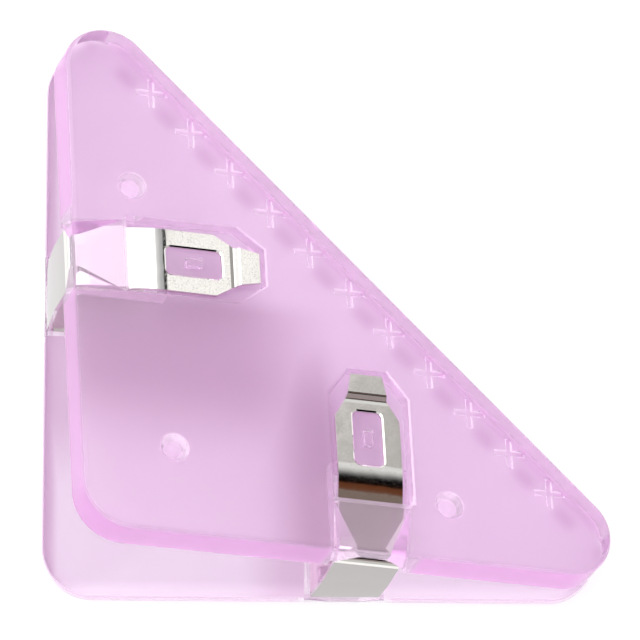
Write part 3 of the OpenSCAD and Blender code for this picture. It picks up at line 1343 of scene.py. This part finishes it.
@dataclass
class Spring:
    """One steel spring: an arm in each plate, joined by a web that is creased in the middle."""

    places: Places
    sizes: SpringSizes
    side: ShortSide
    tip_step: float = 0.65 * MM
    dimple: float = 0.08 * MM
    web_lean: float = math.radians(2)
    web_depth: float = 2 * MM  # faces up to this far in from the outermost point belong to the web
    bend_r: float = 18 * MM
    fold_r: float = 0.3 * MM
    groove_r: float = 0.55 * MM
    edge_r: float = 0.8 * MM
    bend_steps: int = 8
    window_steps: int = 8
    window_edge: float = 0.13 * MM
    window_flare: float = 1.7
    edge_w: float = 0.1 * MM
    edge_angle: float = math.radians(60)
    edge_steps: int = 3
    crease: float = math.radians(9)
    overrun: float = 0.25  # share of a short side by which the strip is longer before it is cut
    weld: float = 0.01  # share of an edge's width within which two points become one
    still: float = 7.2 * MM  # a distance from the middle plane

    def line(self) -> list[Flat]:
        """Middle of the strip as distance inwards and depth, from its tip past the web's crease.

        Returns:
            Its points, in order.
        """
        sizes = self.sizes
        normal = self.places.normal
        slope = math.tan(math.atan(normal.y / normal.z) - self.web_lean)
        past = self.places.leg * self.overrun
        points = [
            (sizes.arm_reach, sizes.tip_depth),
            (sizes.fold_reach + self.tip_step, sizes.tip_depth),
            (sizes.fold_reach, sizes.arm_depth + self.dimple),
            (sizes.fold_reach - self.tip_step, sizes.arm_depth),
            (sizes.bend_at, sizes.arm_depth),
            (sizes.web_inset, sizes.edge_depth),
            (sizes.web_inset + slope * past, sizes.edge_depth + past),
        ]
        radii = [self.fold_r, self.groove_r, self.fold_r, self.bend_r, self.edge_r]
        return rounded_line(points, radii, self.bend_steps)

    def skew(self, spring: Piece) -> None:
        """Slants the web sideways, so that its edges run straight from one plate to the other.

        Args:
            spring: Half of the spring, beside the short side along X.
        """
        normal = self.places.normal
        for vertex in spring.data.vertices:
            past = max(0, vertex.co.z - self.sizes.edge_depth)
            vertex.co.x += past * normal.x / normal.z

    def strip(self) -> Piece:
        """Builds the bent strip at its full width.

        Returns:
            The strip.
        """
        half = self.sizes.strip_w / 2
        outline = thickened(self.line(), self.sizes.strip_t)
        return lofted("strip", [
            [Vector((self.sizes.at + x, inwards, depth)) for inwards, depth in outline]
            for x in (-half, half)
        ])

    def blank(self) -> Piece:
        """Builds a tall block with the flat outline of an arm.

        Returns:
            The block.
        """
        sizes = self.sizes
        reach = self.places.leg
        outline = sizes.both_sides([
            (sizes.strip_w / 2 + self.edge_w, -reach * self.overrun),
            (sizes.strip_w / 2 + self.edge_w, sizes.shoulder_reach),
            (sizes.fold_w / 2, sizes.fold_reach),
            (sizes.tip_w / 2, sizes.arm_reach + self.edge_w),
        ])
        return prism("blank", outline, -reach, reach)

    def window(self) -> Piece:
        """Builds the block that punches the window and breaks its upper edge.

        Returns:
            The block.
        """
        sizes = self.sizes
        top = sizes.arm_depth - sizes.strip_t / 2
        rise = self.window_edge + sizes.arm_depth
        edge = top + self.window_edge
        rings = []
        for depth, spread in ((edge - rise, rise * self.window_flare), (edge, 0), (self.places.leg, 0)):
            ring = []
            for turn, (x, y) in enumerate(((1, 1), (-1, 1), (-1, -1), (1, -1))):
                centre = (
                    sizes.at + x * (sizes.window_w / 2 - sizes.window_r),
                    sizes.window_at + y * (sizes.window_len / 2 - sizes.window_r),
                )
                start = turn * QUARTER_TURN
                ring += arc(centre, sizes.window_r + spread, start, start + QUARTER_TURN, self.window_steps)
            rings.append(ring_at(ring, depth))
        return lofted("window", rings)

    def model(self) -> Piece:
        """Builds the whole spring in the row frame.

        Returns:
            The spring.
        """
        spring = self.strip()
        join(spring, self.blank(), Joining.KEEP)
        join(spring, self.window(), Joining.CUT)
        self.skew(spring)
        if self.side is ShortSide.LEFT:
            move_mesh(spring, self.places.swapped)
        move_mesh(spring, self.places.placed)
        mesh = bmesh.new()
        mesh.from_mesh(spring.data)
        bmesh.ops.bisect_plane(
            mesh, geom=[*mesh.verts, *mesh.edges, *mesh.faces], plane_co=self.places.pivot,
            plane_no=self.places.normal, clear_outer=True,
        )
        other = bmesh.ops.duplicate(mesh, geom=[*mesh.verts, *mesh.edges, *mesh.faces])["geom"]
        verts = [item for item in other if isinstance(item, bmesh.types.BMVert)]
        faces = [item for item in other if isinstance(item, bmesh.types.BMFace)]
        bmesh.ops.transform(mesh, matrix=self.places.mirror, verts=verts)
        bmesh.ops.reverse_faces(mesh, faces=faces)
        bmesh.ops.remove_doubles(mesh, verts=mesh.verts, dist=self.edge_w * self.weld)
        mesh.to_mesh(spring.data)
        mesh.free()
        finish_edges(spring, self.edge_w, self.edge_angle, self.edge_steps)
        shade(spring, self.crease)
        self.mark(spring)
        return spring

    def mark(self, spring: Piece) -> None:
        """Marks the web's faces for the painted shade, by how far each faces outward.

        Args:
            spring: The spring in the row frame.
        """
        across = 0 if self.side is ShortSide.LEFT else 1
        outermost = min(vertex.co[across] for vertex in spring.data.vertices)
        marks = spring.data.attributes.new(MARKS, "FLOAT_VECTOR", "FACE")
        for mark, face in zip(marks.data, spring.data.polygons):
            if face.center[across] < outermost + self.web_depth:
                # painted shade, strongest on faces turned straight outward
                mark.vector = (max(0, -face.normal[across]), 0, 0)

    def build(self, finish: Material) -> None:
        """Builds the spring and puts it between the two plates.

        Args:
            finish: The steel.
        """
        piece = self.model()
        piece.name = "bent_" + self.side.value
        dress(piece, finish)
        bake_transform(piece)
        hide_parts(self.side.value)
        LOG.info("%s: %d faces between both bodies", piece.name, len(piece.data.polygons))


# ---------------------------------------------------------------- studio


def direction_of(azimuth: float, elevation: float) -> Vector:
    """Direction in the row frame.

    Args:
        azimuth: Angle from +X towards +Y, in degrees.
        elevation: Angle above the floor, in degrees.

    Returns:
        The direction, of length 1.
    """
    turn = math.radians(azimuth)
    rise = math.radians(elevation)
    return Vector((math.cos(rise) * math.cos(turn), math.cos(rise) * math.sin(turn), math.sin(rise)))


@dataclass(frozen=True)
class Lamp:
    """A soft rectangular lamp that faces the clip.

    Attributes:
        name: Its name.
        azimuth: Where it stands, from +X towards +Y, in degrees.
        elevation: How high it stands above the floor, in degrees.
        size: Its width and height.
        power: Its power, in watts.
    """

    name: str
    azimuth: float
    elevation: float
    size: Flat
    power: float

    def build(self, distance: float, aim: Vector) -> None:
        """Adds the lamp.

        Args:
            distance: How far it stands from the origin.
            aim: What it faces.
        """
        data = bpy.data.lights.new(self.name, "AREA")
        data.shape = "RECTANGLE"
        data.size, data.size_y = self.size
        data.energy = self.power
        place = direction_of(self.azimuth, self.elevation) * distance
        lamp = new_object(self.name, data)
        lamp.location = place
        lamp.rotation_euler = (aim - place).to_track_quat("-Z", "Y").to_euler()
        LOG.info("lamp %s", self.name)


@dataclass(frozen=True)
class Card:
    """A card that stands round the clip, for the metal to mirror.

    Attributes:
        azimuths: Where it begins and ends, from +X towards +Y, in degrees.
        elevations: Its lower and upper edge above the floor, in degrees.
        blur: Softness of its edges, in degrees.
        colour: Its colour, where 1 is as bright as the sky.
    """

    azimuths: Flat
    elevations: Flat
    blur: float
    colour: Colour

    def mask(self, bench: NodeBench, turn: Socket, rise: Socket) -> Socket:
        """Adds nodes that are 1 where it stands and 0 elsewhere.

        Args:
            bench: The bench to work on.
            turn: Azimuth of a direction, in degrees.
            rise: Elevation of the direction, in degrees.

        Returns:
            The mask.
        """
        blur = self.blur
        return bench.product(*(
            bench.hump(value, (start - blur, start + blur, end - blur, end + blur))
            for value, (start, end) in ((turn, self.azimuths), (rise, self.elevations))
        ))


@dataclass
class Studio:
    """Pale floor, soft lamps, soft surroundings and the camera."""

    floor_size: float = 4.0
    lens: float = 450.0
    camera_place: Vector = Vector((-2.48, -139.97, 1082.68)) * MM
    camera_aim: Vector = Vector((12.81, 12.22, 15.0)) * MM
    camera_turn: float = math.radians(0.403)
    lamp_distance: float = 0.9
    lamps: tuple[Lamp, ...] = (
        Lamp("top_box", 102, 36, (1.1, 0.44), 2.0),
        Lamp("overhead", 130, 74, (0.5, 0.5), 2.2),
        Lamp("left_fill", 200, 38, (0.5, 0.7), 0.25),
        Lamp("low_fill", -100, 30, (0.7, 0.4), 2.2),
    )
    bright_side: Vector = direction_of(azimuth=130, elevation=45)
    bright_from: float = 0.6  # cosine of the angle to the bright side where the sky begins to dim
    sky_high: Colour = (1.0, 1.0, 1.0)
    sky_low: Colour = (0.76, 0.74, 0.73)
    cards: tuple[Card, ...] = (
        # for the bend and the slope of the bottom spring
        Card((10, 49.5), (36.6, 47.0), 3.4, (0.0, 0.0, 0.0)),
        Card((10, 47), (43.2, 46.8), 0.4, (0.16, 0.05, 0.02)),
        Card((5, 42), (46.8, 58), 0.7, (0.25, 0.19, 0.165)),
        # for the flats of both springs
        Card((40, 50.8), (18, 31), 0.5, (0.60, 0.57, 0.56)),
        Card((40, 49.3), (18, 29.8), 0.9, (0.46, 0.44, 0.43)),
        Card((50.8, 53.2), (18, 36), 0.4, (1.36, 1.33, 1.31)),
        # for the bend of the left spring
        Card((53.2, 55.4), (24, 38), 0.2, (0.0, 0.0, 0.0)),
        Card((55.4, 58.0), (26, 39), 0.4, (0.60, 0.60, 0.62)),
        Card((58.0, 60.0), (28, 41), 0.8, (0.78, 0.78, 0.80)),
        Card((60.0, 63.0), (28, 42), 1.0, (1.05, 1.05, 1.08)),
        Card((63.0, 66.5), (28, 44), 1.0, (1.40, 1.40, 1.40)),
        Card((66.5, 84.0), (30, 50), 1.5, (0.30, 0.30, 0.34)),
        # for the windows' edges and the steps at the tips
        Card((92, 150), (8, 34), 2.0, (1.25, 1.25, 1.25)),
        Card((-60, -44), (26, 42), 1.5, (0.40, 0.33, 0.33)),
        Card((-40, -10), (40, 56), 1.5, (0.0, 0.0, 0.0)),
        Card((76, 104), (50, 62), 2.0, (0.06, 0.02, 0.02)),
        Card((-8, 14), (50, 62), 2.0, (0.06, 0.02, 0.02)),
    )
    sky_strength: float = 0.85

    def floor(self) -> None:
        """Adds the floor under the back plate."""
        half = self.floor_size / 2
        depth = CAD_BOX[0][2]
        mesh = bmesh.new()
        square = ((-half, -half), (half, -half), (half, half), (-half, half))
        mesh.faces.new([mesh.verts.new((x, y, depth)) for x, y in square])
        floor = new_piece("floor", mesh)
        floor.data.materials.append(PaleFloor().material())
        LOG.info("floor: %.1f m wide", self.floor_size)

    def sky(self) -> None:
        """Adds soft surroundings: bright overhead and beyond the clip, with cards for the metal."""
        world = bpy.data.worlds.new("studio")
        world.use_nodes = True
        bpy.context.scene.world = world
        bench = NodeBench(world.node_tree)
        direction = bench.add("TexCoord").outputs["Generated"]
        x, y, z = bench.parts(direction)
        near = bench.add("VectorMath", {"operation": "DOT_PRODUCT"})
        bench.put(near.inputs[0], direction)
        bench.put(near.inputs[1], self.bright_side)
        colour = bench.ramp(near.outputs["Value"], [(0, self.sky_low), (self.bright_from, self.sky_high)])
        turn = bench.math("DEGREES", bench.math("ARCTAN2", y, x))
        rise = bench.math("DEGREES", bench.math("ARCSINE", z))
        for card in self.cards:
            colour = bench.blend(card.mask(bench, turn, rise), colour, card.colour)
        light = bench.add("Background", Color=colour, Strength=self.sky_strength)
        bench.add("OutputWorld", Surface=light.outputs["Background"])

    def camera(self) -> None:
        """Adds the camera, almost straight above the clip."""
        data = bpy.data.cameras.new("camera")
        data.lens = self.lens
        camera = new_object("camera", data)
        back = (self.camera_place - self.camera_aim).normalized()
        hint = Vector((-math.sin(self.camera_turn), math.cos(self.camera_turn), 0))
        right = hint.cross(back).normalized()
        up = back.cross(right)
        turn = Matrix((right, up, back)).transposed().to_4x4()
        camera.matrix_world = Matrix.Translation(self.camera_place) @ turn
        bpy.context.scene.camera = camera

    def build(self, aim: Vector) -> None:
        """Adds everything round the clip.

        Args:
            aim: The middle of the clip.
        """
        bpy.context.scene.view_settings.view_transform = "Standard"
        self.floor()
        self.sky()
        for lamp in self.lamps:
            lamp.build(self.lamp_distance, aim)
        self.camera()


def main() -> None:
    """Builds the clip and its studio."""
    logging.basicConfig(level=logging.INFO, format="%(name)s: %(message)s")
    places = Places.read(frame)
    sizes = SpringSizes()
    Studio().build(places.pivot)
    plate = Plate(places, sizes)
    plate.build({
        # the back plate's copy of the plastic is painted darker, as shade under the front plate
        Body.BACK: PinkPlastic(
            plate, name="pink_plastic_back_shaded", milky=(0.935, 0.785, 0.935), cloudy=(0.915, 0.755, 0.915),
        ).material(),
        Body.FRONT: PinkPlastic(plate, name="pink_plastic_front").material(),
    })
    steel = NickelSteel().material()
    for side in ShortSide:
        Spring(places, sizes, side).build(steel)


if __name__ == "__main__":
    main()
